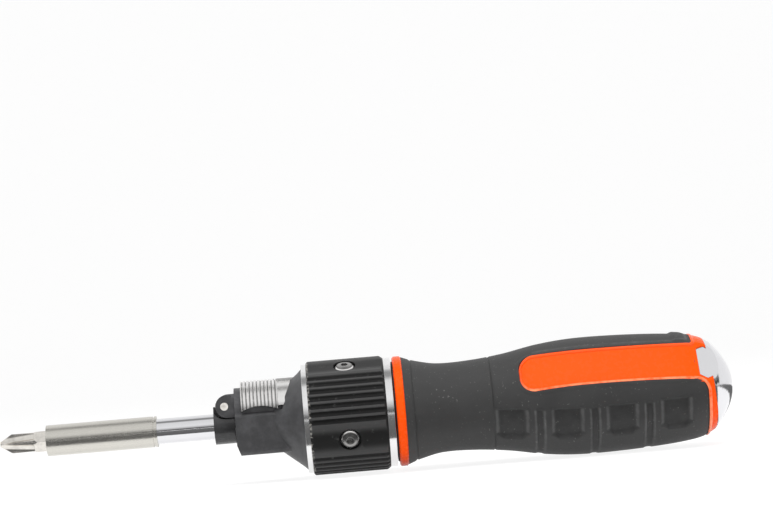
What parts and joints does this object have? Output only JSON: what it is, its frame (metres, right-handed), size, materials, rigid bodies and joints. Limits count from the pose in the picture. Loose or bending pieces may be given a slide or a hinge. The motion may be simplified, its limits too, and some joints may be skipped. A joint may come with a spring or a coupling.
{
  "type": "ratcheting screwdriver",
  "caption": "Ratcheting screwdriver with a folding nose, thumb slide, ribbed collar, two-colour grip, steel end cap and a magnetic holder for hexagon bits.",
  "frame": {"origin": "centre of the bit holder's mouth, on the tool's axis", "axes": "+X runs along the tool's axis from the bit to the end cap, +Z is the side of the thumb slide, and +Y crosses the tool along the nose's hinge pin"},
  "size_m": [0.2327, 0.037, 0.037],
  "materials": {
    "bit_steel": "satin",
    "holder_steel": "satin nickel",
    "magnet": "nickel plated",
    "chrome": "polished",
    "black_enamel": "satin",
    "plain_steel": "ground",
    "slide_chrome": "polished",
    "bright_rings": "polished",
    "black_aluminium": "black anodised",
    "screw_steel": "satin",
    "bronze": "sintered",
    "orange_plastic": "semi-gloss",
    "black_rubber": "matt",
    "cap_chrome": "polished"
  },
  "bodies": {
    "handle": {"handle_core": "orange_plastic", "rubber_grip": "black_rubber", "end_cap": "cap_chrome", "handle_ring": "orange_plastic", "running_seal": "black_rubber", "handle_spindle": "plain_steel", "ratchet_wheel": "plain_steel"},
    "head": {"head_body": "black_enamel", "grip_collar": "black_aluminium", "collar_screws": "screw_steel", "front_trim_ring": "bright_rings", "rear_trim_ring": "bright_rings", "pivot_pin": "plain_steel", "pivot_washers": "plain_steel", "detent_ball": "plain_steel", "detent_spring": "plain_steel", "pawl_pin": "plain_steel", "ratchet_cover": "plain_steel", "cover_circlip": "plain_steel", "thrust_washer": "bronze"},
    "slide": {"selector_slide": "slide_chrome"},
    "pawl": {"ratchet_pawl": "plain_steel"},
    "nose": {"nose_knuckle": "black_enamel", "drive_shaft": "chrome", "bit_holder": "holder_steel", "holder_magnet": "magnet"},
    "bit": {"phillips_bit": "bit_steel"}
  },
  "joints": [
    {"name": "head_turn", "type": "hinge", "parent": "handle", "child": "head", "pos_m": [0.096, 0, 0], "axis": [1, 0, 0], "continuous": true},
    {"name": "selector_travel", "type": "slide", "parent": "head", "child": "slide", "axis": [1, 0, 0], "range_m": [-0.002, 0.002]},
    {"name": "pawl_rock", "type": "hinge", "parent": "head", "child": "pawl", "pos_m": [0.0942, 0, 0.01], "axis": [1, 0, 0], "range_deg": [-11, 11]},
    {"name": "nose_fold", "type": "hinge", "parent": "head", "child": "nose", "pos_m": [0.0568, 0, 0.0062], "axis": [0, 1, 0], "range_deg": [0, 90]},
    {"name": "bit_pull", "type": "slide", "parent": "nose", "child": "bit", "axis": [-1, 0, 0], "range_m": [0, 0.0105]}
  ],
  "couplings": [
    {"joint": "pawl_rock", "follows": "selector_travel", "rad_per_m": 95.99}
  ]
}
